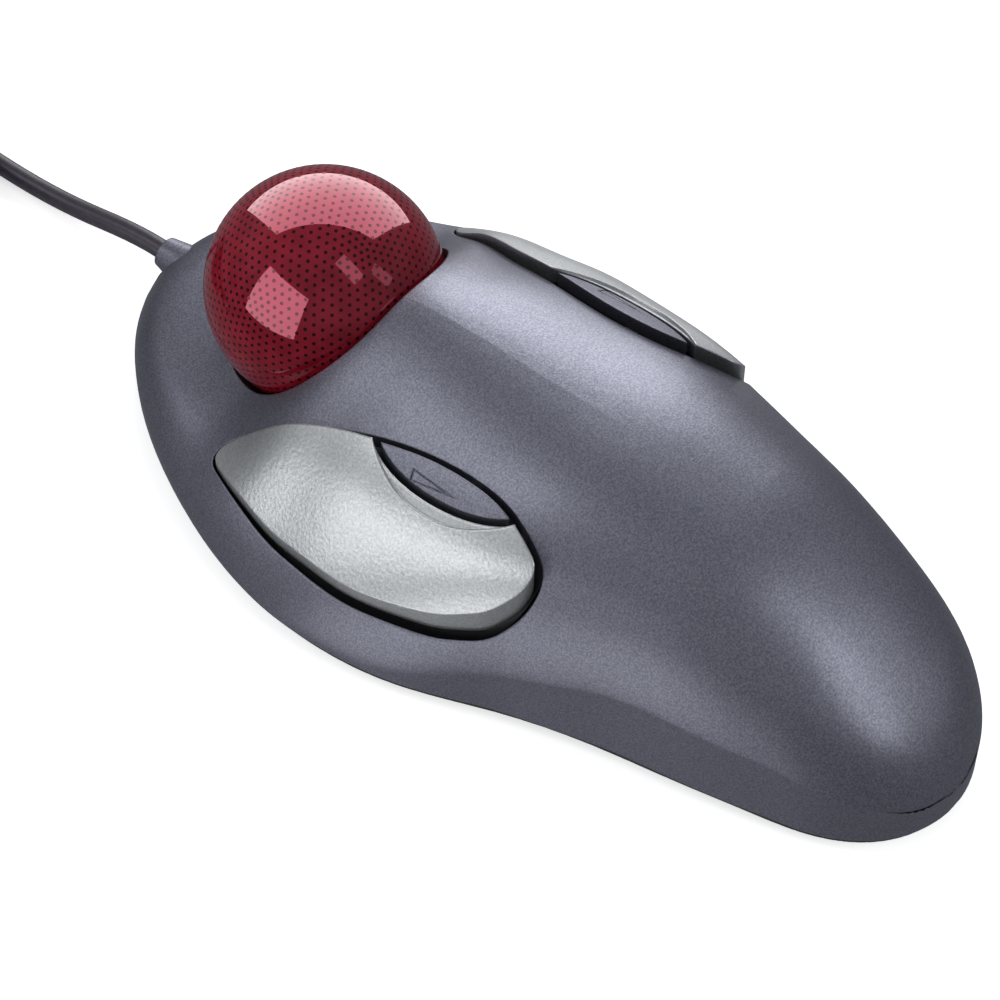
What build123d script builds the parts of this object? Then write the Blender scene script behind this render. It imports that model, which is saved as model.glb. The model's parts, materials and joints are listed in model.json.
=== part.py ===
from build123d import *
import math
import os

# Finger-operated trackball mouse for either hand, with two buttons on each
# side of the palm rest and a ball at the front, above the cable.
# Millimetres. +Z is up, +Y points to the ball and the cable, and the object
# is the same on both sides of X = 0. It stands on its feet at Z = 0.

# ---- driving dimensions ----------------------------------------------------
LENGTH = 166.0                    # case, front to back
BALL_R = 20.0
BALL = (0.0, 47.0, 27.5)          # centre of the ball
SOCKET_GAP = 0.85                 # case opening around the ball
CUP_GAP = 0.9                     # cup around the ball
CUP_WALL = 1.5
WALL = 2.2                        # case wall
ROUND = 7.0                       # rounding from the crown into the sides
REAR_ROUND = 6.0                  # the same at the back end
PARTING = 3.5                     # height of the case's lower edge
TRAY_LOW = 1.0                    # underside of the tray
TRAY_TOP = 3.0                    # inside floor of the tray
TRAY_STEP = 0.8                   # tray set back from the case
BUTTON_DEPTH = 1.0                # underside of a button below the case's skin
BUTTON_RISE = 2.1                 # top of a button above the case's skin
FRAME_DEPTH = 2.5                 # top of the plate under the buttons
FRAME_THICK = 1.3
CABLE_R = 1.75
CABLE_Z = 6.0                     # axis of the cable in the case
BOARD_Z = 5.2                     # underside of the main board
BOARD_T = 1.6

# Cross sections of the case from back to front. At each Y: girth of the plan
# outline, height of the crown, half width at which the crown would reach its
# level, that level, and the two powers that shape the section.
STATIONS = [
    (-88, 38.5, 6.0, 17.0, -4.0, 2.5, 2.1),
    (-83, 37.8, 13.5, 19.0, -3.0, 2.5, 2.1),
    (-72, 34.4, 26.5, 24.4, -1.0, 2.5, 2.1),
    (-58, 30.5, 37.0, 27.4, -1.0, 2.5, 2.1),
    (-40, 29.7, 43.1, 30.8, 0.0, 2.5, 2.1),
    (-20, 32.9, 44.3, 35.6, 0.0, 2.4, 2.0),
    (0, 39.8, 43.0, 42.6, 3.0, 2.0, 1.5),
    (17, 43.4, 41.8, 45.5, 6.0, 1.8, 1.10),
    (28, 44.5, 40.0, 44.0, 7.0, 1.7, 1.00),
    (35, 44.6, 36.0, 42.5, 7.5, 1.8, 1.00),
    (42, 44.4, 26.5, 41.5, 7.8, 2.1, 1.00),
    (50, 44.0, 18.5, 40.5, 7.8, 2.4, 1.00),
    (62, 43.4, 14.6, 39.0, 7.6, 2.5, 1.00),
    (75, 42.4, 12.0, 37.0, 7.0, 2.4, 1.00),
    (88, 41.0, 8.0, 35.0, 6.0, 2.4, 1.00),
]

# Opening for the left pair of buttons, seen from above: outer edge from the
# front tip to the back, inner edge from the back to the front tip, and the
# curve that parts the small button from the main one.
OUTER = [(-32.6, 42.7), (-34.4, 38.2), (-36.0, 33.2), (-37.5, 27.1),
         (-38.4, 21.2), (-38.9, 15.2), (-38.7, 9.0), (-37.9, 3.4), (-36.8, -1.9),
         (-35.4, -6.9), (-33.8, -11.0), (-32.2, -14.4), (-30.2, -17.2),
         (-28.0, -19.1), (-25.8, -19.6), (-24.1, -18.8), (-22.7, -16.6)]
INNER = [(-22.7, -16.6), (-21.2, -13.0), (-19.8, -8.4), (-19.0, -2.5),
         (-18.9, 3.6), (-19.4, 10.0), (-20.4, 17.1), (-21.7, 24.1),
         (-23.4, 30.5), (-25.3, 37.0), (-27.0, 41.6), (-29.0, 44.2),
         (-30.9, 44.6), (-32.6, 42.7)]
PARTED = [(-18.0, -14.6), (-21.6, -11.8), (-23.4, -8.2), (-24.6, -3.0),
          (-25.0, 2.9), (-24.7, 8.2), (-23.6, 13.2), (-21.8, 17.0),
          (-18.0, 20.6)]
TIP = (-30.5, 42.0)               # hinge of the main button, at its front tip


# ---- shape of the crown ----------------------------------------------------
def station(y, column):
    """A column of STATIONS at y, without overshoot between the sections."""
    ys = [s[0] for s in STATIONS]
    vs = [s[column] for s in STATIONS]
    h = [b - a for a, b in zip(ys, ys[1:])]
    d = [(b - a) / w for a, b, w in zip(vs, vs[1:], h)]
    m = [d[0]] + [0 if a * b <= 0 else 2 * a * b / (a + b)
                  for a, b in zip(d, d[1:])] + [d[-1]]
    k = max(i for i in range(len(h)) if ys[i] <= y or i == 0)
    s = (y - ys[k]) / h[k]
    return (vs[k] * (2 * s**3 - 3 * s**2 + 1) + vs[k + 1] * (3 * s**2 - 2 * s**3)
            + h[k] * (m[k] * (s**3 - 2 * s**2 + s) + m[k + 1] * (s**3 - s**2)))


def crown(x, y):
    top, half, level, p, q = [station(y, c) for c in range(2, 7)]
    t = min(abs(x) / half, 0.995)
    return level + (top - level) * (1 - t**p) ** (1 / q)


def slopes(x, y, e=0.05):
    return ((crown(x + e, y) - crown(x - e, y)) / (2 * e),
            (crown(x, y + e) - crown(x, y - e)) / (2 * e))


def half_width(y, lift=0.0):
    end = LENGTH / 2 + lift
    return (station(y, 1) + lift) * math.sqrt(max(1 - (y / end) ** 2, 0))


def rim_points(lift, count=240):
    end = LENGTH / 2 + lift
    rim = []
    for k in range(count + 1):
        y = -end * math.cos(math.pi * k / count)
        rim += [(half_width(y, lift), y), (-half_width(y, lift), y)]
    return rim


def skin_height(x, y, lift, rim, grow):
    """Height of the case's skin moved out by lift, rounded off at the rim."""
    gx, gy = slopes(x, y)
    d = min(math.hypot(x - a, y - b) for a, b in rim)
    back = min(max((-48 - y) / 30, 0), 1)
    r = ROUND + (REAR_ROUND - ROUND) * back * back * (3 - 2 * back) + grow
    drop = r - math.sqrt(max(r * r - max(r - d, 0) ** 2, 0))
    return crown(x, y) + lift * min(math.hypot(1, math.hypot(gx, gy)), 2.2) - drop


def skin(lift, grow=None, sections=30, across=9, base=-6.0, tip=0.06):
    """Closed block under the case's skin. lift moves the skin out, and may be
    a function of x and y; grow moves the plan outline."""
    grow = lift if grow is None else grow
    end = LENGTH / 2 + grow
    rim = rim_points(grow)
    pace = [i / (2 * across) for i in range(2 * across + 1)]
    with BuildPart() as block:
        for k in range(sections + 1):
            y = -(end - tip) * math.cos(math.pi * k / sections)
            w = half_width(y, grow)
            top = []
            for i in range(-across, across + 1):
                x = w * math.sin(math.pi / 2 * i / across)
                out = lift(x, y) if callable(lift) else lift
                top.append((x, skin_height(x, y, out, rim, grow)))
            with BuildSketch(Plane(origin=(0, y, 0), x_dir=(1, 0, 0), z_dir=(0, -1, 0))):
                corners = [top[-1], (w, base), (-w, base), top[0]]
                make_face([Edge.make_spline([Vector(*point) for point in top],
                                            parameters=pace)]
                          + [Edge.make_line(a, b) for a, b in zip(corners, corners[1:])])
        loft()
    return block.part


def inset(points, gap):
    """Closed outline moved inwards by gap, which may be a function of a point."""
    area = sum(a[0] * b[1] - b[0] * a[1] for a, b in zip(points, points[1:] + points[:1]))
    side = 1 if area > 0 else -1
    moved = []
    for i, (x, y) in enumerate(points):
        (ax, ay), (bx, by) = points[i - 1], points[(i + 1) % len(points)]
        tx, ty = bx - ax, by - ay
        size = math.hypot(tx, ty)
        g = gap(x, y) if callable(gap) else gap
        moved.append((x - side * g * ty / size, y + side * g * tx / size))
    return moved


def prism(points, low, high):
    """Upright block with a smooth closed outline."""
    with BuildPart() as block:
        with BuildSketch(Plane.XY.offset(low)):
            with BuildLine():
                Spline(*points, periodic=True)
            make_face()
        extrude(amount=high - low)
    return block.part


def outline_block(lift, low, high):
    """Upright block with the case's plan outline, moved out by lift."""
    end = LENGTH / 2 + lift
    ys = [-end * math.cos(math.pi * k / 16) for k in range(17)]
    right = [(half_width(y, lift), y) for y in ys]
    left = [(-x, y) for x, y in reversed(right[1:-1])]
    with BuildPart() as block:
        with BuildSketch(Plane.XY.offset(low)):
            with BuildLine():
                Spline(*right, *left, periodic=True)
            make_face()
        extrude(amount=high - low)
    return block.part


# ---- blocks that several pieces share --------------------------------------
outer = skin(0)
inner = skin(-WALL)
lining = skin(-FRAME_DEPTH)

opening_outline = OUTER + INNER[1:-1]
left_opening = prism(opening_outline, 5, 60)


def smooth(s):
    s = min(max(s, 0), 1)
    return s * s * (3 - 2 * s)


def rise(x, y):
    """Rise of a main button: flush at its front tip and along the flank, and
    proud along the palm rest."""
    return 0.35 + (BUTTON_RISE - 0.35) * smooth((45 - y) / 17) * smooth((40 - abs(x)) / 15)


def small_rise(x, y):
    return rise(x, y) - 0.35


def gap_at_opening(x, y):
    """Gap between the buttons and the case, thin at the front tip and widest
    along the palm rest."""
    inner = min(max((27 + x) / 6, 0), 1) * min(max((30 - y) / 12, 0), 1)
    return 0.5 + 0.7 * min(max((41 - y) / 22, 0), 1) + 0.4 * inner


# Square frame of a button pair: its Z points out of the case across the middle
# of the pair, and its X runs down the flank.
PAIR = (-29.0, 4.0)
gx, gy = slopes(*PAIR)
pair_normal = Vector(-gx, -gy, 1).normalized()
pair_plane = Plane(origin=(PAIR[0], PAIR[1], crown(*PAIR)),
                   x_dir=pair_normal.cross(Vector(0, 1, 0)), z_dir=pair_normal)
MAIN_U, SMALL_U = 4.6, -7.8       # the switches, along the flank
SWITCH = (5.4, 12.8, 6.4)
SWITCH_BOARD = (21.0, 26.0, 1.2)
PLUNGER_V = 3.2
PLUNGER_R = 1.1


def depth_at(u, v, lift):
    """Height over pair_plane of the case's skin moved out by lift."""
    low, high = -12.0, 6.0
    rim = rim_points(lift, 80)
    for step in range(24):
        mid = (low + high) / 2
        p = pair_plane.from_local_coords(Vector(u, v, mid))
        if p.Z < skin_height(p.X, p.Y, lift, rim, lift):
            low = mid
        else:
            high = mid
    return low


def lowest(u, v, du, dv, lift):
    """Least depth_at over the corners of a rectangle."""
    return min(depth_at(u + a * du, v + b * dv, lift) for a in (-1, 1) for b in (-1, 1))


def on_pair(u, v, n):
    """Plane parallel to pair_plane with its origin at a local point."""
    return Plane(origin=pair_plane.from_local_coords(Vector(u, v, n)),
                 x_dir=pair_plane.x_dir, z_dir=pair_plane.z_dir)


def on_skin(x, y, depth):
    """Plane square to the crown at (x, y), sunk by depth."""
    gx, gy = slopes(x, y)
    out = Vector(-gx, -gy, 1).normalized()
    return Plane(origin=Vector(x, y, crown(x, y)) - out * depth,
                 x_dir=Vector(0, 1, 0).cross(out), z_dir=out)


def mirrored(piece, label):
    """The right-hand copy of a left-hand piece."""
    with BuildPart() as other:
        mirror(piece.part, about=Plane.YZ)
    other.part.label = label
    return other


# ---- casing ----------------------------------------------------------------
CASE_SCREWS = [(24.0, 53.0), (-24.0, 53.0), (14.0, -57.0), (-14.0, -57.0)]
BOSS_Y = LENGTH / 2 + 1.6         # end of the boss around the cable
GROMMET_R = 2.4
LOW = (Align.CENTER, Align.CENTER, Align.MIN)

with BuildPart() as case_block:
    add(outer)
    # tapered boss where the cable leaves
    with BuildSketch(Plane((0, BOSS_Y, CABLE_Z), z_dir=(0, -1, 0))):
        Circle(2.8)
    extrude(amount=BOSS_Y - 78, taper=-12)
    split(bisect_by=Plane.XY.offset(PARTING), keep=Keep.TOP)

with BuildPart() as cavity:
    add(inner)
    split(bisect_by=Plane.XY.offset(PARTING - 1), keep=Keep.TOP)
    with Locations(*[(x, y, 0) for x, y in CASE_SCREWS]):
        Cylinder(3.4, 50, align=LOW, mode=Mode.SUBTRACT)

with BuildPart() as whole_case:
    add(case_block.part)
    add(cavity.part, mode=Mode.SUBTRACT)
    with Locations(*[(x, y, PARTING) for x, y in CASE_SCREWS]):
        Cylinder(1.35, 9.5, align=LOW, mode=Mode.SUBTRACT)
    with Locations(Plane((0, BOSS_Y + 1, CABLE_Z), z_dir=(0, -1, 0))):
        Cylinder(CABLE_R + 0.15, 16, align=LOW, mode=Mode.SUBTRACT)
    with Locations(Plane((0, BOSS_Y - 3, CABLE_Z), z_dir=(0, -1, 0))):
        Cylinder(GROMMET_R + 0.05, 16, align=LOW, mode=Mode.SUBTRACT)
    # openings for the buttons and the ball
    add(left_opening, mode=Mode.SUBTRACT)
    add(mirror(left_opening, about=Plane.YZ), mode=Mode.SUBTRACT)
    with Locations(BALL):
        Sphere(BALL_R + SOCKET_GAP, mode=Mode.SUBTRACT)

# the same solid with its large faces divided along and across the crown
CASE_CUTS = [Plane.YZ, Plane.XZ.offset(-22), Plane.XZ.offset(38)]
pieces_of_case = [whole_case.part]
for cut in CASE_CUTS:
    pieces_of_case = [half for piece in pieces_of_case
                      for half in split(piece, bisect_by=cut, keep=Keep.BOTH,
                                        mode=Mode.PRIVATE).solids()]

with BuildPart() as top_case:
    for piece in pieces_of_case:
        add(piece, clean=False)
top_case.part.label = "top_case"

BOARD_SCREWS = [(14.0, -28.0), (-14.0, -28.0), (14.0, 8.0), (-14.0, 8.0)]
FEET = [(27.0, 38.0), (-27.0, 38.0), (10.5, -68.0), (-10.5, -68.0)]
EJECT_R = 8.0                     # hole for pushing the ball out from below

with BuildPart() as bottom_case:
    add(outline_block(-TRAY_STEP, TRAY_LOW, PARTING))
    fillet(bottom_case.faces().sort_by(Axis.Z)[0].edges(), 0.9)
    add(outline_block(-TRAY_STEP - WALL, TRAY_TOP, PARTING), mode=Mode.SUBTRACT)
    for x, y in BOARD_SCREWS:
        with Locations((x, y, TRAY_TOP)):
            Cylinder(2.6, BOARD_Z - TRAY_TOP, align=LOW)
        with Locations((x, y, TRAY_TOP - 0.6)):
            Cylinder(1.1, 4, align=LOW,
                     mode=Mode.SUBTRACT)
    for x, y in CASE_SCREWS:
        with Locations((x, y, TRAY_LOW)):
            Cylinder(3.3, 1.3, align=LOW,
                     mode=Mode.SUBTRACT)
            Cylinder(1.5, 4, align=LOW,
                     mode=Mode.SUBTRACT)
    for x, y in FEET:
        with Locations((x, y, TRAY_LOW)):
            Cylinder(6.1, 0.5, align=LOW,
                     mode=Mode.SUBTRACT)
    with Locations((0, -12, TRAY_LOW)):
        Box(30.2, 22.2, 0.3, align=LOW,
            mode=Mode.SUBTRACT)
    with Locations((BALL[0], BALL[1], 0)):
        Cylinder(EJECT_R, 8, mode=Mode.SUBTRACT)
bottom_case.part.label = "bottom_case"

with BuildPart() as rubber_feet:
    with Locations(*[(x, y, 0) for x, y in FEET]):
        Cylinder(6.0, TRAY_LOW + 0.45, align=LOW)
    chamfer(rubber_feet.edges().group_by(Axis.Z)[0], 0.3)
rubber_feet.part.label = "rubber_feet"

with BuildPart() as rating_label:
    with Locations((0, -12, TRAY_LOW + 0.05)):
        Box(30, 22, 0.2, align=LOW)
rating_label.part.label = "rating_label"

with BuildPart() as case_screws:
    for x, y in CASE_SCREWS:
        with Locations((x, y, TRAY_LOW + 0.1)):
            Cylinder(3.0, 1.1, align=LOW)
            Cylinder(1.25, 11, align=LOW)
            Box(3.2, 0.7, 1.2, mode=Mode.SUBTRACT)
            Box(0.7, 3.2, 1.2, mode=Mode.SUBTRACT)
case_screws.part.label = "case_screws"


# ---- ball and its cup ------------------------------------------------------
with BuildPart() as ball:
    with Locations(BALL):
        Sphere(BALL_R)
ball.part.label = "ball"

CUP_IN = BALL_R + CUP_GAP
CUP_OUT = CUP_IN + CUP_WALL
BEARING_R = 1.5
BEARING_TILT = 55                 # below the middle of the ball
BEARING_TURNS = (90, 210, 330)
SENSOR_TILT = 28                  # below the middle of the ball, at the back
LEG_AT = 12.0                     # legs of the cup, from the ball's axis
LEG_TURNS = (30, 150, 270)


def around_ball(turn, tilt, reach):
    """Point at reach from the ball's centre, turned from +X and tilted down."""
    a, b = math.radians(turn), math.radians(tilt)
    return (BALL[0] + reach * math.cos(a) * math.cos(b),
            BALL[1] + reach * math.sin(a) * math.cos(b),
            BALL[2] - reach * math.sin(b))


def facing_ball(turn, tilt, reach):
    """Plane at around_ball whose Z axis points away from the ball."""
    here = Vector(*around_ball(turn, tilt, reach))
    return Plane(origin=here, x_dir=(-math.sin(math.radians(turn)),
                                     math.cos(math.radians(turn)), 0),
                 z_dir=here - Vector(*BALL))


bearing_points = [around_ball(a, BEARING_TILT, BALL_R + BEARING_R + 0.05)
                  for a in BEARING_TURNS]

with BuildPart() as ball_cup:
    with Locations(BALL):
        Sphere(CUP_OUT)
    with Locations(*bearing_points):
        Sphere(BEARING_R + 1.2)
    add(lining, mode=Mode.INTERSECT)
    for turn in LEG_TURNS:
        a = math.radians(turn)
        with Locations((BALL[0] + LEG_AT * math.cos(a), BALL[1] + LEG_AT * math.sin(a),
                        TRAY_TOP)):
            Cylinder(2.4, 8, align=LOW)
    with Locations(BALL):
        Sphere(CUP_IN, mode=Mode.SUBTRACT)
        Cylinder(7, 60, mode=Mode.SUBTRACT, align=(Align.CENTER, Align.CENTER, Align.MAX))
    with Locations(facing_ball(270, SENSOR_TILT, CUP_IN)):
        Cylinder(3.2, 8, mode=Mode.SUBTRACT)
    with Locations(*bearing_points):
        Sphere(BEARING_R + 0.02, mode=Mode.SUBTRACT)
ball_cup.part.label = "ball_cup"

with BuildPart() as support_bearings:
    with Locations(*bearing_points):
        Sphere(BEARING_R)
support_bearings.part.label = "support_bearings"


# ---- sensor that looks at the ball -----------------------------------------
sensor_plane = facing_ball(270, SENSOR_TILT, CUP_OUT + 0.15)

with BuildPart(sensor_plane) as sensor_housing:
    Box(9, 13, 7, align=LOW)
    Cylinder(2.4, 7, align=LOW, mode=Mode.SUBTRACT)
    with Locations((0, 4.6, 0)):
        Cylinder(1.3, 7, align=LOW, mode=Mode.SUBTRACT)
sensor_housing.part.label = "sensor_housing"

with BuildPart(sensor_plane.offset(1.0)) as sensor_lens:
    Cylinder(2.35, 3.0, align=LOW)
sensor_lens.part.label = "sensor_lens"

with BuildPart(sensor_plane.offset(1.0)) as illumination_led:
    with Locations((0, 4.6, 0)):
        Cylinder(1.25, 5.8, align=LOW)
illumination_led.part.label = "illumination_led"

with BuildPart(sensor_plane.offset(7.05)) as image_sensor:
    Box(8, 7.4, 1.6, align=LOW)
image_sensor.part.label = "image_sensor"

with BuildPart(sensor_plane.offset(8.7)) as sensor_board:
    Box(9.4, 15, 1.0, align=LOW)
sensor_board.part.label = "sensor_board"


# ---- main board ------------------------------------------------------------
BOARD_TOP = BOARD_Z + BOARD_T

with BuildPart() as main_board:
    with Locations((0, -9, BOARD_Z)):
        Box(34, 46, BOARD_T, align=LOW)
    fillet(main_board.edges().filter_by(Axis.Z), 1.5)
    with Locations(*[(x, y, BOARD_Z) for x, y in BOARD_SCREWS]):
        Cylinder(1.2, 8, mode=Mode.SUBTRACT)
main_board.part.label = "main_board"

with BuildPart() as board_screws:
    for x, y in BOARD_SCREWS:
        with Locations((x, y, BOARD_TOP + 0.02)):
            Cylinder(2.2, 1.3, align=LOW)
        with Locations((x, y, TRAY_TOP - 0.3)):
            Cylinder(1.0, BOARD_TOP - TRAY_TOP + 0.4, align=LOW)
        with Locations((x, y, BOARD_TOP + 1.32)):
            Box(2.6, 0.6, 1.0, mode=Mode.SUBTRACT)
            Box(0.6, 2.6, 1.0, mode=Mode.SUBTRACT)
board_screws.part.label = "board_screws"

with BuildPart() as controller_chip:
    with Locations((0, -8, BOARD_TOP)):
        Box(9, 9, 1.6, align=LOW)
    chamfer(controller_chip.faces().sort_by(Axis.Z)[-1].edges(), 0.25)
    with Locations((-3.4, -4.6, BOARD_TOP + 1.6)):
        Cylinder(0.5, 0.3, mode=Mode.SUBTRACT)
controller_chip.part.label = "controller_chip"

with BuildPart() as crystal:
    with BuildSketch(Plane.XY.offset(BOARD_TOP)):
        with Locations((-9, -18)):
            SlotOverall(10.6, 4.4)
    extrude(amount=3.4)
    fillet(crystal.faces().sort_by(Axis.Z)[-1].edges(), 0.5)
crystal.part.label = "crystal"

with BuildPart() as capacitors:
    with Locations((9, -17, BOARD_TOP), (9, -24, BOARD_TOP)):
        Cylinder(2.5, 7.5, align=LOW)
    chamfer(capacitors.edges().group_by(Axis.Z)[-1], 0.4)
capacitors.part.label = "capacitors"

CONNECTOR = (7.0, 5.0)

with BuildPart() as cable_connector:
    with Locations((*CONNECTOR, BOARD_TOP)):
        Box(8, 6, 4.2, align=LOW)
    with Locations((CONNECTOR[0], CONNECTOR[1] + 1.5, BOARD_TOP + 0.9)):
        Box(6.4, 3.1, 2.4, align=LOW, mode=Mode.SUBTRACT)
cable_connector.part.label = "cable_connector"


# ---- buttons ---------------------------------------------------------------
underside = skin(-BUTTON_DEPTH)
frame_low = skin(-FRAME_DEPTH - FRAME_THICK)
ARROW = (-22.45, 3.6)             # arrow mark on the small button


def small_region(move):
    """Upright block over the small button, its curved edge moved out by move,
    which may be a function of x and y."""
    away = (lambda x, y: -move(x, y)) if callable(move) else -move
    curve = inset(PARTED + [(-10, 30), (-10, -20)], away)[:len(PARTED)]
    with BuildPart() as block:
        with BuildSketch(Plane.XY.offset(5)):
            with BuildLine():
                Spline(*curve)
                Polyline(curve[-1], (-10, curve[-1][1]), (-10, curve[0][1]), curve[0])
            make_face()
        extrude(amount=55)
    return block.part


def ledge_width(x, y):
    """Reach of the main button's lowered ledge beside the small button."""
    return 0.5 + 1.7 * max(1 - ((y - 2.5) / 13) ** 2, 0)


button_block = prism(inset(opening_outline, gap_at_opening), 5, 60)
ledge_floor = skin(lambda x, y: rise(x, y) - 0.4, grow=1.0)

with BuildPart() as ledge_cut:
    add(small_region(ledge_width))
    add(ledge_floor, mode=Mode.SUBTRACT)

with BuildPart() as left_main_button:
    add(skin(rise, grow=1.0))
    add(underside, mode=Mode.SUBTRACT)
    add(button_block, mode=Mode.INTERSECT)
    add(small_region(0.5), mode=Mode.SUBTRACT)
    add(ledge_cut.part, mode=Mode.SUBTRACT)
left_main_button.part.label = "left_main_button"

with BuildPart() as left_small_button:
    add(skin(small_rise, grow=1.0))
    add(underside, mode=Mode.SUBTRACT)
    add(button_block, mode=Mode.INTERSECT)
    add(small_region(-0.5), mode=Mode.INTERSECT)
    # arrow mark, cut into the top
    with BuildSketch(on_skin(*ARROW, -small_rise(*ARROW) + 0.3)):
        Polygon((0.55, 4.7), (-1.35, 4.2), (0.55, -4.6), align=None)
        offset(amount=-0.26, mode=Mode.SUBTRACT)
    extrude(amount=2, mode=Mode.SUBTRACT)
left_small_button.part.label = "left_small_button"

FRAME_SCREWS = [(-17.6, 27.0), (-16.3, 3.0), (-17.6, -13.0)]
frame_outline = ([(x + 0.5, y) for x, y in OUTER[:10]]
                 + [(-31.6, -12.6), (-27.4, -17.6), (-21.0, -18.2), (-16.0, -15.6)]
                 + [(-14.3, 3.0), (-14.6, 16.0), (-15.6, 28.6), (-20.5, 34.0),
                    (-24.2, 40.0), (-28.4, 43.0)])

with BuildPart() as left_button_frame:
    add(lining)
    add(frame_low, mode=Mode.SUBTRACT)
    add(prism(frame_outline, 5, 60), mode=Mode.INTERSECT)
    with Locations(on_pair(MAIN_U, PLUNGER_V, -10), on_pair(SMALL_U, PLUNGER_V, -10)):
        Cylinder(1.7, 20, align=LOW, mode=Mode.SUBTRACT)
    for x, y in FRAME_SCREWS:
        with Locations(on_skin(x, y, 6)):
            Cylinder(0.9, 6, align=LOW, mode=Mode.SUBTRACT)
left_button_frame.part.label = "left_button_frame"

with BuildPart() as left_frame_screws:
    for x, y in FRAME_SCREWS:
        with Locations(on_skin(x, y, FRAME_DEPTH + FRAME_THICK + 1.1)):
            Cylinder(1.6, 1.0, align=LOW)
            Cylinder(0.8, 4.0, align=LOW)
left_frame_screws.part.label = "left_frame_screws"


# ---- switches under the buttons --------------------------------------------
FRAME_UNDER = -FRAME_DEPTH - FRAME_THICK
SWITCH_TOP = min(lowest(u, 0, SWITCH[0] / 2, SWITCH[1] / 2, FRAME_UNDER)
                 for u in (MAIN_U, SMALL_U)) - 0.2
SWITCH_LOW = SWITCH_TOP - SWITCH[2]


def switch(u):
    with BuildPart(on_pair(u, 0, SWITCH_LOW)) as body:
        Box(*SWITCH, align=LOW)
        chamfer(body.faces().sort_by(Axis(on_pair(0, 0, 0).origin, pair_normal))[-1]
                .edges(), 0.3)
        with Locations((0, PLUNGER_V, SWITCH[2] - 3.6)):
            Cylinder(PLUNGER_R + 0.08, 5, align=LOW, mode=Mode.SUBTRACT)
    return body


def plunger(u):
    top = lowest(u, PLUNGER_V, PLUNGER_R, PLUNGER_R, -BUTTON_DEPTH) - 0.06
    with BuildPart(on_pair(u, PLUNGER_V, SWITCH_TOP - 2.2)) as pin:
        Cylinder(PLUNGER_R, top - SWITCH_TOP + 2.2, align=LOW)
    return pin


left_main_switch = switch(MAIN_U)
left_main_switch.part.label = "left_main_switch"
left_small_switch = switch(SMALL_U)
left_small_switch.part.label = "left_small_switch"
left_main_plunger = plunger(MAIN_U)
left_main_plunger.part.label = "left_main_plunger"
left_small_plunger = plunger(SMALL_U)
left_small_plunger.part.label = "left_small_plunger"

with BuildPart(on_pair((MAIN_U + SMALL_U) / 2, 0, SWITCH_LOW)) as left_switch_board:
    Box(*SWITCH_BOARD, align=(Align.CENTER, Align.CENTER, Align.MAX))
left_switch_board.part.label = "left_switch_board"

board_under = pair_plane.from_local_coords(
    Vector((MAIN_U + SMALL_U) / 2, 0, SWITCH_LOW - SWITCH_BOARD[2]))
RIBBON = [(board_under.X, board_under.Z), (board_under.X + 2.0, 15.0), (-13.0, 11.0),
          (-13.0, BOARD_TOP)]

with BuildPart() as left_ribbon:
    with BuildSketch(Plane.XZ.offset(-1.0)):
        with BuildLine():
            Polyline(*RIBBON)
        trace(line_width=0.4)
    extrude(amount=7)
    split(bisect_by=on_pair(0, 0, SWITCH_LOW - SWITCH_BOARD[2]), keep=Keep.BOTTOM)
    split(bisect_by=Plane.XY.offset(BOARD_TOP), keep=Keep.TOP)
left_ribbon.part.label = "left_ribbon"


# ---- cable inside the case -------------------------------------------------
with BuildPart() as cable_grommet:
    with Locations(Plane((0, BOSS_Y - 3.05, CABLE_Z), z_dir=(0, -1, 0))):
        Cylinder(GROMMET_R, 9, align=LOW)
    with Locations((0, BOSS_Y - 12, CABLE_Z)):
        Box(8.5, 1.6, 4.8)
    with Locations(Plane((0, BOSS_Y, CABLE_Z), z_dir=(0, -1, 0))):
        Cylinder(CABLE_R + 0.05, 20, align=LOW, mode=Mode.SUBTRACT)
cable_grommet.part.label = "cable_grommet"

CABLE_START = 72.0
WIRE_R = 1.3
WIRE_Z = BOARD_TOP + 2.1          # height at which it enters the connector
WIRE = [(0, CABLE_START - 0.02, CABLE_Z), (0.6, 66, CABLE_Z), (15, 62, CABLE_Z),
        (18.4, 42, 6.6), (13, 23, WIRE_Z), (CONNECTOR[0], 14, WIRE_Z + 0.1),
        (CONNECTOR[0] + 0.1, CONNECTOR[1] + 1.6, WIRE_Z)]

with BuildPart() as internal_cable:
    with BuildLine():
        wire_path = FilletPolyline(*WIRE, radius=4)
    with BuildSketch(Plane(origin=wire_path @ 0, z_dir=wire_path % 0)):
        Circle(WIRE_R)
    sweep()
internal_cable.part.label = "internal_cable"


# ---- cable outside the case ------------------------------------------------
COIL = (-27.6, 143.0)             # centre of the coil
COIL_R = 20.4                     # middle of its turns
COIL_COLUMNS = 4                  # turns side by side, in three full layers
COIL_Z = 0.6                      # underside, on the tie
CABLE_D = 2 * CABLE_R

ROUTE = [(0.0, CABLE_START, CABLE_Z), (0.0, 90.0, CABLE_Z), (-0.6, 108.5, CABLE_R),
         (-0.9, 127.0, CABLE_R), (-1.9, 144.0, CABLE_R + COIL_Z)]
LEAD = [(-9.2, 146.2, 12.85), (-10.0, 157.8, 12.85), (-16.7, 169.9, 11.0),
        (-30.6, 176.9, 5.5), (-47.2, 174.4, 4.0), (-60.5, 165.0, 4.0),
        (-67.0, 151.0, 4.0)]


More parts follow.
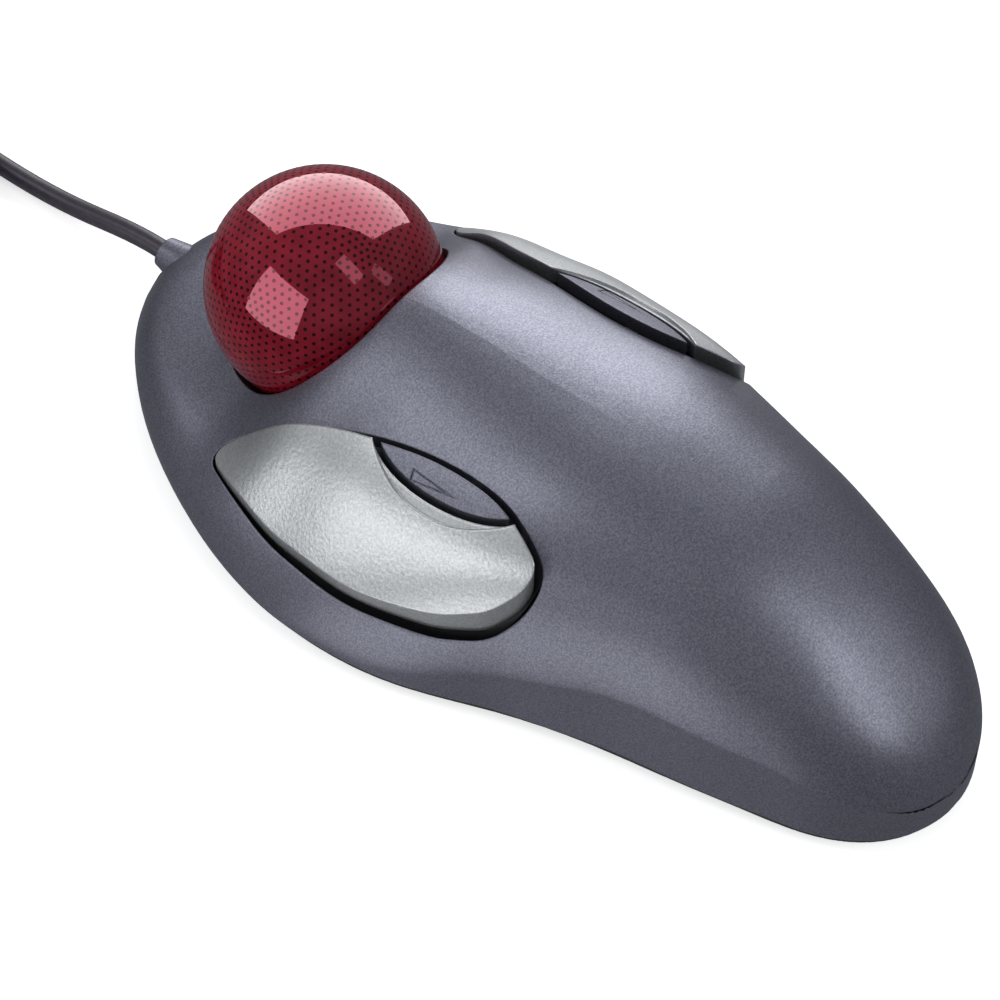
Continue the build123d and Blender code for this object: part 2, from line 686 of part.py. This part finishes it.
def tube(route, r):
    """Tube along straight runs, each bend rounded as far as its runs allow."""
    bends = []
    for a, b, c in zip(route, route[1:], route[2:]):
        p, q = Vector(b) - Vector(a), Vector(c) - Vector(b)
        turn = math.radians(p.get_angle(q))
        bends.append(0.45 * min(p.length, q.length) / math.tan(turn / 2))
    with BuildPart() as pipe:
        with BuildLine():
            path = FilletPolyline(*route, radius=bends)
        with BuildSketch(Plane(origin=path @ 0, z_dir=path % 0)):
            Circle(r)
        sweep()
    print("bends", [round(v, 1) for v in bends], "volume over section x length",
          round(pipe.part.volume / (math.pi * r * r * path.length), 4))
    return pipe


cable = tube(ROUTE, CABLE_R)
cable.part.label = "cable"
plug_lead = tube(LEAD, CABLE_R)
plug_lead.part.label = "plug_lead"

# the turns as one ring: three full layers, and two turns wide on top
ring_in = COIL_R - COIL_COLUMNS / 2 * CABLE_D
ring_out = COIL_R + COIL_COLUMNS / 2 * CABLE_D
ring_top = COIL_Z + 4 * CABLE_D

with BuildPart() as cable_coil:
    with BuildSketch(Plane((*COIL, 0), x_dir=(1, 0, 0), z_dir=(0, -1, 0))):
        with BuildLine():
            Polyline((ring_in, COIL_Z), (ring_out, COIL_Z),
                     (ring_out, ring_top - CABLE_D), (COIL_R, ring_top - CABLE_D),
                     (COIL_R, ring_top), (ring_in, ring_top), close=True)
        ring = make_face()
        fillet(ring.vertices().filter_by(lambda v: v.Z < 1 or v.Z > ring_top - 1), 1.6)
    revolve(axis=Axis((*COIL, 0), (0, 0, 1)))
cable_coil.part.label = "cable_coil"

with BuildPart() as cable_tie:
    with BuildSketch(Plane((COIL[0] - COIL_R, COIL[1], (COIL_Z + ring_top) / 2),
                           x_dir=(1, 0, 0), z_dir=(0, -1, 0))):
        RectangleRounded(ring_out - ring_in + 2 * COIL_Z, ring_top + COIL_Z - 0.05, 2.2)
        RectangleRounded(ring_out - ring_in + 0.1, ring_top - COIL_Z + 0.1, 1.8,
                         mode=Mode.SUBTRACT)
    extrude(amount=3, both=True)
cable_tie.part.label = "cable_tie"

# plug on the far end, lying flat beside the coil
PLUG = LEAD[-1]                   # where the cable enters the plug
plug_plane = Plane(origin=PLUG, x_dir=(-1, 0.1, 0), z_dir=(-0.1, -1, 0))
OVERMOLD = (15.6, 7.8, 19.0)
SHELL = (12.0, 4.5, 12.0)
SHELL_T = 0.32

with BuildPart(plug_plane) as plug_overmold:
    with BuildSketch(plug_plane):
        Circle(2.4)
    with BuildSketch(plug_plane.offset(6)):
        RectangleRounded(OVERMOLD[0] - 4, OVERMOLD[1] - 1.4, 1.8)
    loft()
    with BuildSketch(plug_plane.offset(6)):
        RectangleRounded(OVERMOLD[0], OVERMOLD[1], 2.0)
    extrude(amount=OVERMOLD[2])
    with Locations((0, 0, 6 + OVERMOLD[2])):
        Box(SHELL[0] + 0.04, SHELL[1] + 0.04, 6, mode=Mode.SUBTRACT,
            align=(Align.CENTER, Align.CENTER, Align.MAX))
    Cylinder(CABLE_R + 0.02, 5, align=LOW, mode=Mode.SUBTRACT)
plug_overmold.part.label = "plug_overmold"

shell_plane = plug_plane.offset(6 + OVERMOLD[2])
with BuildPart(shell_plane) as plug_shell:
    with BuildSketch(shell_plane.offset(-5.9)):
        RectangleRounded(SHELL[0], SHELL[1], 0.6)
        RectangleRounded(SHELL[0] - 2 * SHELL_T, SHELL[1] - 2 * SHELL_T, 0.4,
                         mode=Mode.SUBTRACT)
    extrude(amount=SHELL[2] + 5.9)
    with Locations((-2.3, 0, 5.2), (2.3, 0, 5.2)):
        Box(2.2, 8, 2.4, mode=Mode.SUBTRACT)
plug_shell.part.label = "plug_shell"

with BuildPart(shell_plane) as plug_insert:
    with Locations((0, -0.95, -5.8)):
        Box(SHELL[0] - 2 * SHELL_T - 0.5, 1.84, SHELL[2] + 5.0, align=LOW)
plug_insert.part.label = "plug_insert"

with BuildPart(shell_plane) as plug_contacts:
    with Locations((-3.5, 0, -5.8), (-1.0, 0, -5.8), (1.0, 0, -5.8), (3.5, 0, -5.8)):
        Box(1.0, 0.12, SHELL[2] + 4.4, align=(Align.CENTER, Align.MIN, Align.MIN))
plug_contacts.part.label = "plug_contacts"


# ---- right-hand copies and export ------------------------------------------
left_pieces = [left_main_button, left_small_button, left_button_frame,
               left_frame_screws, left_main_switch, left_small_switch,
               left_main_plunger, left_small_plunger, left_switch_board, left_ribbon]
right_pieces = [mirrored(piece, piece.part.label.replace("left", "right"))
                for piece in left_pieces]

pieces = [top_case, bottom_case, rubber_feet, rating_label, case_screws,
          ball, ball_cup, support_bearings,
          sensor_housing, sensor_lens, illumination_led, image_sensor, sensor_board,
          main_board, board_screws, controller_chip, crystal, capacitors,
          cable_connector, *left_pieces, *right_pieces,
          cable_grommet, internal_cable, cable, plug_lead, cable_coil, cable_tie,
          plug_overmold, plug_shell, plug_insert, plug_contacts]

os.makedirs("parts", exist_ok=True)
for piece in pieces:
    export_step(piece.part, "parts/" + piece.part.label + ".step")
print(len(pieces), "pieces", "small press", tuple(round(-v, 4) for v in pair_normal),
      "hinge", TIP, round(crown(*TIP), 2), "switch top", round(SWITCH_TOP, 2))
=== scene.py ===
import json
import math

import bmesh
import bpy
from mathutils import Matrix, Vector


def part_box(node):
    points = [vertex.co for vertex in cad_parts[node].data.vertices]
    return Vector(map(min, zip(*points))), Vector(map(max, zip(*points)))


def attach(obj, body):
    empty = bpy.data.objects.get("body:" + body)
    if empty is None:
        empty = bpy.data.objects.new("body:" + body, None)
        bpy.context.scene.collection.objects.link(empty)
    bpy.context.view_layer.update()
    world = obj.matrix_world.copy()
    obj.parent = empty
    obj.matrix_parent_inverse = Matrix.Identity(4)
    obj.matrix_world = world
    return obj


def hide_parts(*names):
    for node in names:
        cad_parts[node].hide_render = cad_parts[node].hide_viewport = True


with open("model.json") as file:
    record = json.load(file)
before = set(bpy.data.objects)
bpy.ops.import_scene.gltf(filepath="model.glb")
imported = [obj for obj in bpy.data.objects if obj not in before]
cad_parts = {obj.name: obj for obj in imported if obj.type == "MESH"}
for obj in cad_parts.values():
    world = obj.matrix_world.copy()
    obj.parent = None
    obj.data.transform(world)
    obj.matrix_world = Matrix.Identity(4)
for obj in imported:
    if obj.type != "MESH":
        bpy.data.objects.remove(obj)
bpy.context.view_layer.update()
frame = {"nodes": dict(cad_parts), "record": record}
NODES = frame["nodes"]
MM = 0.001


# ---- camera ----------------------------------------------------------------
CAMERA_ANGLES = (-50.525, 55.572, 0.456)       # azimuth, elevation and roll in degrees
CAMERA_AIM = Vector((-7.515, 3.507, 15.0)) * MM
CAMERA_REACH = 600 * MM
LENS, SENSOR = 133.98, 36.0


def make_camera():
    """Looks down over the back and left of the mouse, with the ball at the far left."""
    turn, tilt, roll = (math.radians(angle) for angle in CAMERA_ANGLES)
    back = Vector((math.sin(turn) * math.cos(tilt), -math.cos(turn) * math.cos(tilt),
                   math.sin(tilt)))
    level = Vector((math.cos(turn), math.sin(turn), 0))
    up = back.cross(level)
    right = level * math.cos(roll) + up * math.sin(roll)
    up = up * math.cos(roll) - level * math.sin(roll)
    data = bpy.data.cameras.new("camera")
    data.lens, data.sensor_width = LENS, SENSOR
    camera = bpy.data.objects.new("camera", data)
    camera.matrix_world = (Matrix.Translation(CAMERA_AIM + back * CAMERA_REACH)
                           @ Matrix((right, up, back)).transposed().to_4x4())
    bpy.context.scene.collection.objects.link(camera)
    bpy.context.scene.camera = camera


# ---- cable -----------------------------------------------------------------
CABLE_WIDTH = 3.5                 # mm, as the route's points
CABLE_D = CABLE_WIDTH * MM
EXIT = Vector((0, 84.6, 6.0)) * MM
ROUTE = [(0, 90.0, 6.0), (-1.3, 108.5, 1.75), (-2.4, 127.0, 1.75)]
COIL = (-27.6, 143.0)             # its axis
COIL_R = 20.4                     # middle of the columns
COIL_LOW = 2.35                   # middle of the lowest turns
TURNS = 13
COLUMNS = 4
TOP_LAYER = 3
MOVE_SHARE = 0.11                 # of a turn, spent on moving to the next place
STEPS = 36                        # points per turn
LEAD = [(-10.0, 157.8, 12.85), (-16.7, 169.9, 11.0), (-30.6, 176.9, 5.5),
        (-47.2, 174.4, 4.0), (-60.5, 165.0, 4.0), (-66.6, 155.0, 4.0),
        (-67.0, 151.0, 4.0)]


def coil_place(turn):
    """Column and layer of a turn: in, up, out, up, in, up."""
    layer = min(turn // COLUMNS, TOP_LAYER)
    place = turn - layer * COLUMNS
    side = (COLUMNS - 1) / 2
    return (side - place if layer % 2 == 0 else place - side), layer


def coil_move(turn):
    """Share of a turn at which it moves over to the next place, so that no
    turn crosses a place before the one in it has left."""
    place, layer = coil_place(turn)
    starts = {(0, 0): 0.86, (0, 1): 0.72, (1, 0): 0.58, (1, 1): 0.44,
              (2, 0): 0.30, (2, 1): 0.16, (3, 0): 0.02}
    rises = coil_place(turn + 1)[1] > layer
    return starts[(layer, int(rises))]


def coil_points():
    """The wound length, turn by turn, as points of the cable's own spline."""
    points = []
    for step in range(TURNS * STEPS + 1):
        turn, share = divmod(step / STEPS, 1)
        turn = int(turn)
        place, layer = coil_place(turn)
        after, above = coil_place(turn + 1) if turn < TURNS - 1 else (place + 1, layer)
        moved = min(max((share - coil_move(turn)) / MOVE_SHARE, 0), 1)
        moved = moved * moved * (3 - 2 * moved)
        radius = COIL_R + CABLE_WIDTH * (place + (after - place) * moved)
        height = COIL_LOW + CABLE_WIDTH * (layer + (above - layer) * moved)
        turned = 2 * math.pi * share
        points.append((COIL[0] + radius * math.cos(turned),
                       COIL[1] + radius * math.sin(turned), height))
    return points


def make_cable():
    route = [EXIT / MM] + ROUTE + coil_points() + LEAD
    curve = bpy.data.curves.new("cable_run", "CURVE")
    curve.dimensions = "3D"
    curve.resolution_u = 6
    curve.bevel_depth = 1.0           # the points' own radius scales it
    curve.bevel_resolution = 7
    curve.use_fill_caps = True
    spline = curve.splines.new("NURBS")
    spline.points.add(len(route) - 1)
    for point, place in zip(spline.points, route):
        point.co = (*(Vector(place) * MM), 1)
        point.radius = CABLE_D / 2
    spline.order_u = 3
    spline.use_endpoint_u = True
    cable = bpy.data.objects.new("cable_run", curve)
    bpy.context.scene.collection.objects.link(cable)
    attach(cable, "base")
    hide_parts("cable", "cable_coil", "plug_lead")
    return cable


# ---- floor and light -------------------------------------------------------
FLOOR = 3.0                       # half of the floor's side, in metres
LIGHT_REACH = 0.95                # from the mouse to a panel
LIGHT_AIM = Vector((0, 20, 30)) * MM
WORLD_STRENGTH = 0.40


def make_stage():
    """White floor that glows a little, under the mouse and out of its reflections."""
    mesh = bpy.data.meshes.new("floor")
    mesh.from_pydata([(-FLOOR, -FLOOR, 0), (FLOOR, -FLOOR, 0), (FLOOR, FLOOR, 0),
                      (-FLOOR, FLOOR, 0)], [], [(0, 1, 2, 3)])
    floor = bpy.data.objects.new("floor", mesh)
    bpy.context.scene.collection.objects.link(floor)
    material = bpy.data.materials.new("floor_white")
    material.use_nodes = True
    shader = material.node_tree.nodes["Principled BSDF"]
    shader.inputs["Base Color"].default_value = (0.90, 0.90, 0.90, 1)
    shader.inputs["Roughness"].default_value = 0.8
    shader.inputs["Specular IOR Level"].default_value = 0.1
    shader.inputs["Emission Color"].default_value = (1, 1, 1, 1)
    shader.inputs["Emission Strength"].default_value = 0.62
    mesh.materials.append(material)
    floor.visible_glossy = False
    floor.visible_shadow = False


def panel(name, toward, size, glow, reach=LIGHT_REACH):
    """Soft panel that faces the mouse from azimuth and elevation toward, where
    azimuth 0 is along +Y and 90 along +X. glow is its radiance."""
    turn, tilt = (math.radians(angle) for angle in toward)
    data = bpy.data.lights.new(name, "AREA")
    data.shape = "RECTANGLE"
    data.size, data.size_y = size
    data.energy = glow * math.pi * size[0] * size[1]
    light = bpy.data.objects.new(name, data)
    out = Vector((math.sin(turn) * math.cos(tilt), math.cos(turn) * math.cos(tilt),
                  math.sin(tilt)))
    light.location = LIGHT_AIM + out * reach
    light.rotation_euler = out.to_track_quat("Z", "Y").to_euler()
    bpy.context.scene.collection.objects.link(light)
    return light


def lit_by(pieces, lights, shut_out=False):
    """The lights shine on these pieces alone, or on everything but them."""
    group = bpy.data.collections.new("lit" if not shut_out else "unlit")
    for piece in pieces:
        group.objects.link(piece)
    if shut_out:
        for member in group.collection_objects:
            member.light_linking.link_state = "EXCLUDE"
    for light in lights:
        light.light_linking.receiver_collection = group


def make_world():
    """Dim pale surroundings, darker under the horizon."""
    world = bpy.data.worlds.new("studio")
    bpy.context.scene.world = world
    world.use_nodes = True
    nodes, links = world.node_tree.nodes, world.node_tree.links
    where = nodes.new("ShaderNodeTexCoord")
    split = nodes.new("ShaderNodeSeparateXYZ")
    ramp = nodes.new("ShaderNodeValToRGB")
    ramp.color_ramp.elements[0].position = 0.0
    ramp.color_ramp.elements[0].color = (0.42, 0.42, 0.46, 1)
    ramp.color_ramp.elements[1].position = 0.35
    ramp.color_ramp.elements[1].color = (0.94, 0.96, 1.0, 1)
    links.new(where.outputs["Generated"], split.inputs["Vector"])
    links.new(split.outputs["Z"], ramp.inputs["Fac"])
    shade = nodes["Background"]
    links.new(ramp.outputs["Color"], shade.inputs["Color"])
    shade.inputs["Strength"].default_value = WORLD_STRENGTH


def make_lights(ball_pieces):
    """One set of panels lights the ball and the other lights everything else."""
    make_world()
    case_lights = [
        panel("right_strip", (57, 22), (0.40, 0.84), 4.4),
        panel("right_floor", (63, -25), (0.30, 0.26), 0.9),
        panel("left_soft", (-34, 44), (0.30, 0.36), 4.0),
        panel("left_low", (-64, 9), (0.60, 0.26), 2.7),
        panel("left_floor", (-86, -24), (0.40, 0.54), 2.0),
        panel("behind", (170, 36), (0.36, 0.80), 2.8),
    ]
    ball_lights = [
        panel("ball_over", (52, 31), (2.30, 1.60), 4.2, reach=1.10),
        panel("ball_left", (-80, 21), (0.95, 0.85), 4.4, reach=1.00),
        panel("ball_back", (178, 60), (0.20, 0.42), 1.8, reach=0.90),
        panel("ball_back_low", (153, 33), (0.16, 0.34), 1.0, reach=0.90),
    ]
    lit_by(ball_pieces, case_lights, shut_out=True)
    lit_by(ball_pieces, ball_lights)


# ---- materials -------------------------------------------------------------
def new_material(name, colour, roughness, metallic=0.0):
    material = bpy.data.materials.new(name)
    material.use_nodes = True
    shader = material.node_tree.nodes["Principled BSDF"]
    shader.inputs["Base Color"].default_value = (*colour, 1)
    shader.inputs["Roughness"].default_value = roughness
    shader.inputs["Metallic"].default_value = metallic
    return material


def add_node(material, kind, **values):
    """New node with each value set on its property or input of that name."""
    node = material.node_tree.nodes.new(kind)
    for key, value in values.items():
        if hasattr(node, key):
            setattr(node, key, value)
        else:
            node.inputs[key.replace("_", " ")].default_value = value
    return node


def link(material, a, out, b, into):
    material.node_tree.links.new(a.outputs[out], b.inputs[into])


def place_noise(material, scale, detail=2.0, roughness=0.5):
    """Noise fixed to the piece, in its own metres."""
    where = add_node(material, "ShaderNodeTexCoord")
    noise = add_node(material, "ShaderNodeTexNoise", Scale=scale, Detail=detail,
                     Roughness=roughness)
    link(material, where, "Object", noise, "Vector")
    return noise


def grain(material, scale, depth, strength=1.0, detail=2.0, round_edge=0.0):
    """Fine bump, over softly rounded edges where round_edge is set."""
    noise = place_noise(material, scale, detail)
    bump = add_node(material, "ShaderNodeBump", Strength=strength, Distance=depth)
    link(material, noise, "Fac", bump, "Height")
    if round_edge:
        bevel = add_node(material, "ShaderNodeBevel", Radius=round_edge)
        bevel.samples = 6
        link(material, bevel, "Normal", bump, "Normal")
    shader = material.node_tree.nodes["Principled BSDF"]
    link(material, bump, "Normal", shader, "Normal")
    return noise


def colour_speckle(material, dark, light, scale, low=0.35, high=0.65, detail=2.0):
    """Base colour that varies between two colours in fine specks."""
    noise = place_noise(material, scale, detail)
    ramp = add_node(material, "ShaderNodeValToRGB")
    ramp.color_ramp.elements[0].position = low
    ramp.color_ramp.elements[0].color = (*dark, 1)
    ramp.color_ramp.elements[1].position = high
    ramp.color_ramp.elements[1].color = (*light, 1)
    link(material, noise, "Fac", ramp, "Fac")
    link(material, ramp, "Color", material.node_tree.nodes["Principled BSDF"],
         "Base Color")


def roughness_drift(material, low, high, scale):
    """Roughness that wanders between low and high."""
    noise = place_noise(material, scale, 3.0)
    spread = add_node(material, "ShaderNodeMapRange")
    spread.inputs["To Min"].default_value = low
    spread.inputs["To Max"].default_value = high
    link(material, noise, "Fac", spread, "Value")
    link(material, spread, "Result", material.node_tree.nodes["Principled BSDF"],
         "Roughness")


def slate_paint(name="slate_paint"):
    """Metallic slate paint: fine flakes under a thin satin clear coat."""
    m = new_material(name, (0.17, 0.175, 0.22), 0.42, metallic=0.85)
    colour_speckle(m, (0.135, 0.138, 0.178), (0.225, 0.230, 0.275), 3000, 0.36, 0.66)
    grain(m, 2600, 0.00005, 0.5, round_edge=0.0004)
    shader = m.node_tree.nodes["Principled BSDF"]
    shader.inputs["Coat Weight"].default_value = 0.12
    shader.inputs["Coat Roughness"].default_value = 0.40
    return m


def silver_paint():
    """Satin silver with a leathery grain."""
    m = new_material("silver_paint", (0.50, 0.52, 0.53), 0.36, metallic=0.9)
    colour_speckle(m, (0.44, 0.46, 0.47), (0.56, 0.58, 0.59), 2400, 0.35, 0.65)
    grain(m, 1500, 0.00008, 0.5, detail=1.0, round_edge=0.0005)
    return m


def ball_gloss(m):
    """Polished shell whose reflections take some of its red."""
    shader = m.node_tree.nodes["Principled BSDF"]
    shader.inputs["Specular IOR Level"].default_value = 1.0
    shader.inputs["Specular Tint"].default_value = (1.0, 0.24, 0.34, 1)
    shader.inputs["Coat Weight"].default_value = 0.12
    shader.inputs["Coat Roughness"].default_value = 0.02


def ball_body():
    m = new_material("ball_red", (0.09, 0.002, 0.006), 0.04)
    colour_speckle(m, (0.075, 0.0015, 0.005), (0.110, 0.004, 0.009), 260, 0.3, 0.7)
    ball_gloss(m)
    return m


def ball_dot():
    m = new_material("ball_dot_dark", (0.004, 0.0006, 0.001), 0.06)
    colour_speckle(m, (0.003, 0.0004, 0.0008), (0.006, 0.0008, 0.0015), 900)
    ball_gloss(m)
    m.node_tree.nodes["Principled BSDF"].inputs["Specular IOR Level"].default_value = 0.5
    return m


def moulded(name, colour, roughness=0.5, scale=2500, depth=0.00003):
    """Moulded plastic or rubber with a fine grain."""
    m = new_material(name, colour, roughness)
    dark = tuple(c * 0.85 for c in colour)
    light = tuple(min(c * 1.15, 1) for c in colour)
    colour_speckle(m, dark, light, scale / 2)
    grain(m, scale, depth, 0.5, round_edge=0.0002)
    return m


def metal(name, colour, roughness):
    """Bare metal, rubbed a little unevenly."""
    m = new_material(name, colour, roughness, metallic=1.0)
    roughness_drift(m, roughness * 0.8, min(roughness * 1.3, 1), 800)
    grain(m, 3000, 0.00001, 0.3, round_edge=0.0001)
    return m


def clear(name, colour):
    """Clear plastic."""
    m = new_material(name, colour, 0.05)
    shader = m.node_tree.nodes["Principled BSDF"]
    shader.inputs["Transmission Weight"].default_value = 0.9
    roughness_drift(m, 0.03, 0.08, 500)
    return m


def paint_nodes():
    """Each CAD node takes the material of its slot in the record."""
    slots = {
        "case": slate_paint(),
        "case_dark": moulded("black_moulding", (0.012, 0.012, 0.014), 0.5),
        "button_silver": silver_paint(),
        "button_slate": slate_paint("slate_button_paint"),
        "ball": ball_body(),
        "bearing": metal("bearing_steel", (0.7, 0.7, 0.7), 0.12),
        "rubber": moulded("rubber", (0.018, 0.018, 0.020), 0.75, 1800, 0.00005),
        "cable_jacket": moulded("cable_jacket", (0.032, 0.026, 0.040), 0.42, 1500),
        "board": moulded("solder_mask", (0.006, 0.085, 0.030), 0.35, 1200, 0.00002),
        "chip": moulded("chip_moulding", (0.010, 0.010, 0.011), 0.55),
        "steel": metal("plated_steel", (0.55, 0.55, 0.57), 0.28),
        "can": metal("can_aluminium", (0.75, 0.75, 0.77), 0.35),
        "switch": moulded("switch_moulding", (0.015, 0.015, 0.017), 0.4),
        "plunger": moulded("plunger_moulding", (0.75, 0.75, 0.70), 0.4),
        "lens": clear("lens_clear", (0.95, 0.97, 1.0)),
        "led": clear("led_clear", (0.8, 0.08, 0.06)),
        "label": moulded("label_film", (0.30, 0.31, 0.33), 0.45),
        "ribbon": moulded("ribbon_film", (0.62, 0.58, 0.50), 0.45),
        "connector": moulded("connector_moulding", (0.72, 0.68, 0.58), 0.45),
        "gold": metal("gold_plate", (0.85, 0.62, 0.25), 0.25),
    }
    for part in frame["record"]["subparts"]:
        node = NODES[part["node"]]
        node.data.materials.clear()
        node.data.materials.append(slots[part["material_slot"]])
        node.data.polygons.foreach_set("material_index", [0] * len(node.data.polygons))
    return slots


# ---- ball ------------------------------------------------------------------
DOT_R = 0.31 * MM
DOT_SIDES = 10
DOT_LIFT = 1.0006                 # of the ball's radius


def make_ball(slots):
    """Smooth ball with a dot at each corner of an evenly divided sphere."""
    low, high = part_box("ball")
    centre, radius = (low + high) / 2, (high - low).z / 2
    sphere = bmesh.new()
    bmesh.ops.create_icosphere(sphere, subdivisions=7, radius=radius)
    mesh = bpy.data.meshes.new("ball_shell")
    sphere.to_mesh(mesh)
    sphere.free()
    mesh.polygons.foreach_set("use_smooth", [True] * len(mesh.polygons))
    mesh.transform(Matrix.Translation(centre))
    mesh.materials.append(slots["ball"])
    shell = bpy.data.objects.new("ball_shell", mesh)
    bpy.context.scene.collection.objects.link(shell)
    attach(shell, "ball")
    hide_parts("ball")

    grid = bmesh.new()
    bmesh.ops.create_icosphere(grid, subdivisions=5, radius=1)
    turn = Matrix.Rotation(0.5, 3, "X") @ Matrix.Rotation(0.35, 3, "Z")
    corners, faces = [], []
    for vert in grid.verts:
        out = (turn @ vert.co).normalized()
        across = out.orthogonal().normalized()
        along = out.cross(across)
        first = len(corners)
        for k in range(DOT_SIDES):
            angle = 2 * math.pi * k / DOT_SIDES
            reach = (across * math.cos(angle) + along * math.sin(angle)) * DOT_R
            corner = (out * radius + reach).normalized() * (radius * DOT_LIFT)
            corners.append(centre + corner)
        faces.append(tuple(range(first, first + DOT_SIDES)))
    grid.free()
    dots = bpy.data.meshes.new("ball_dots")
    dots.from_pydata(corners, [], faces)
    dots.materials.append(ball_dot())
    dots.polygons.foreach_set("use_smooth", [True] * len(dots.polygons))
    dotted = bpy.data.objects.new("ball_dots", dots)
    bpy.context.scene.collection.objects.link(dotted)
    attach(dotted, "ball")
    return [shell, dotted]


make_camera()
cable = make_cable()
make_stage()
slots = paint_nodes()
cable.data.materials.append(slots["cable_jacket"])
make_lights(make_ball(slots))
bpy.context.scene.view_settings.view_transform = "Standard"

bpy.context.view_layer.update()
